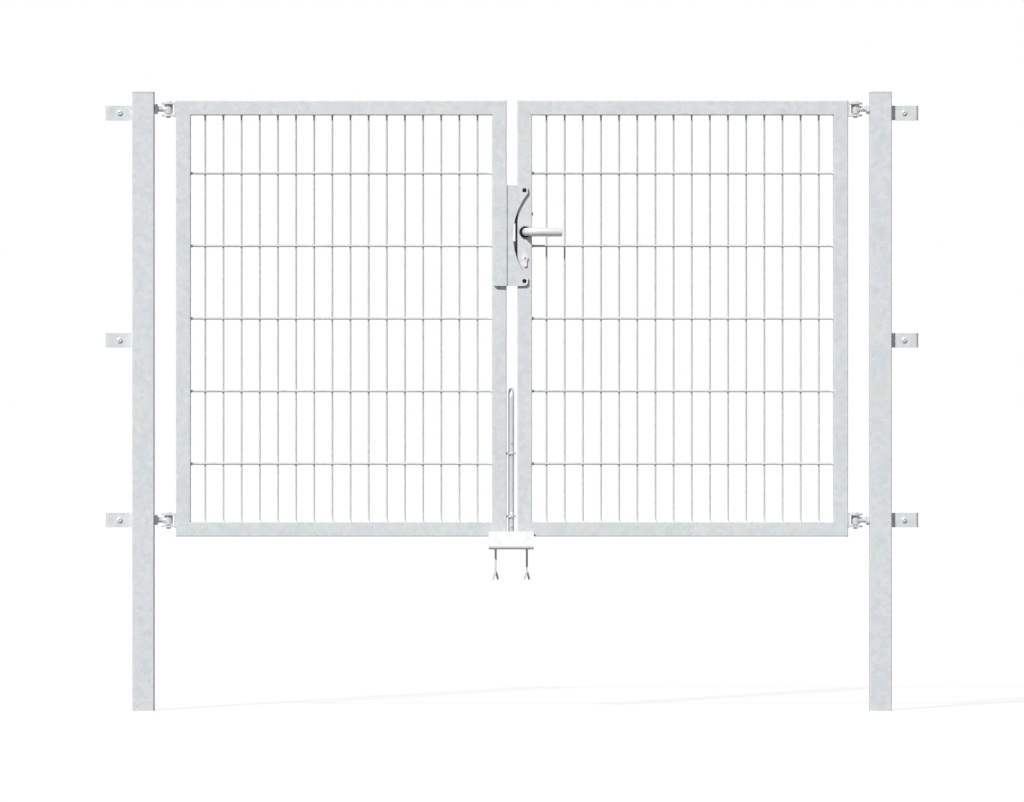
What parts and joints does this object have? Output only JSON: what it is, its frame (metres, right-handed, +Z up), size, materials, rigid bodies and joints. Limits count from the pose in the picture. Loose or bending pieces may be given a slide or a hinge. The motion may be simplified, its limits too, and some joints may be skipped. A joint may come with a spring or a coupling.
{
  "type": "double gate",
  "caption": "Double-leaf welded mesh gate on square posts, with hinges, lever lock, stop plate, drop bolt, fence lugs and a ground stop.",
  "frame": {"origin": "centre of the left post's foot", "axes": "+X along the gate to the right as seen from the front, +Y to the back, the side that both leaves open to, +Z up"},
  "size_m": [2.238, 0.1574, 1.705],
  "materials": {
    "galvanised": "hot-dip galvanised, matt, with a faint spangle",
    "galvanised_wire": "hot-dip galvanised wire, matt",
    "zinc_plated": "zinc plated, satin",
    "dark_steel": "dull, in the shade of the gap",
    "nickel": "nickel plated, satin",
    "satin_aluminium": "satin anodised",
    "grey_plastic": "moulded, matt",
    "black_plastic": "moulded, matt",
    "black_rubber": "moulded, matt"
  },
  "bodies": {
    "root": {"left_post": "galvanised", "right_post": "galvanised", "left_post_cap": "grey_plastic", "right_post_cap": "grey_plastic", "top_left_eye_bolt": "zinc_plated", "low_left_eye_bolt": "zinc_plated", "top_right_eye_bolt": "zinc_plated", "low_right_eye_bolt": "zinc_plated", "left_hinge_nuts": "zinc_plated", "right_hinge_nuts": "zinc_plated", "left_fence_lugs": "galvanised", "right_fence_lugs": "galvanised", "left_clamp_plates": "galvanised", "right_clamp_plates": "galvanised", "left_clamp_screws": "zinc_plated", "right_clamp_screws": "zinc_plated", "ground_stop": "galvanised", "ground_anchors": "galvanised"},
    "left_leaf": {"left_hinge_stile": "galvanised", "left_lock_stile": "galvanised", "left_top_rail": "galvanised", "left_bottom_rail": "galvanised", "left_mesh": "galvanised_wire", "top_left_clevis": "galvanised", "low_left_clevis": "galvanised", "left_hinge_pins": "zinc_plated", "stop_plate": "galvanised", "stop_buffers": "black_rubber", "bolt_guides": "galvanised"},
    "drop_bolt": {"drop_bolt": "zinc_plated"},
    "right_leaf": {"right_hinge_stile": "galvanised", "right_lock_stile": "galvanised", "right_top_rail": "galvanised", "right_bottom_rail": "galvanised", "right_mesh": "galvanised_wire", "top_right_clevis": "galvanised", "low_right_clevis": "galvanised", "right_hinge_pins": "zinc_plated", "lock_forend": "dark_steel", "lock_latch": "zinc_plated", "lock_cylinder": "nickel", "handle_roses": "black_plastic"},
    "lever_handle": {"front_lever": "satin_aluminium", "rear_lever": "satin_aluminium", "handle_spindle": "zinc_plated"}
  },
  "joints": [
    {"name": "left_leaf_swing", "type": "hinge", "parent": "root", "child": "left_leaf", "pos_m": [0.069, 0, 1.09], "axis": [0, 0, 1], "range_deg": [0, 95]},
    {"name": "right_leaf_swing", "type": "hinge", "parent": "root", "child": "right_leaf", "pos_m": [1.961, 0, 1.09], "axis": [0, 0, -1], "range_deg": [0, 95]},
    {"name": "lever_turn", "type": "hinge", "parent": "right_leaf", "child": "lever_handle", "pos_m": [1.051, 0, 1.318], "axis": [0, 1, 0], "range_deg": [0, 40], "stiffness_Nm_per_rad": 1, "springref_deg": -28.65},
    {"name": "drop_bolt_slide", "type": "slide", "parent": "left_leaf", "child": "drop_bolt", "axis": [0, 0, 1], "range_m": [-0.024, 0.022]}
  ]
}
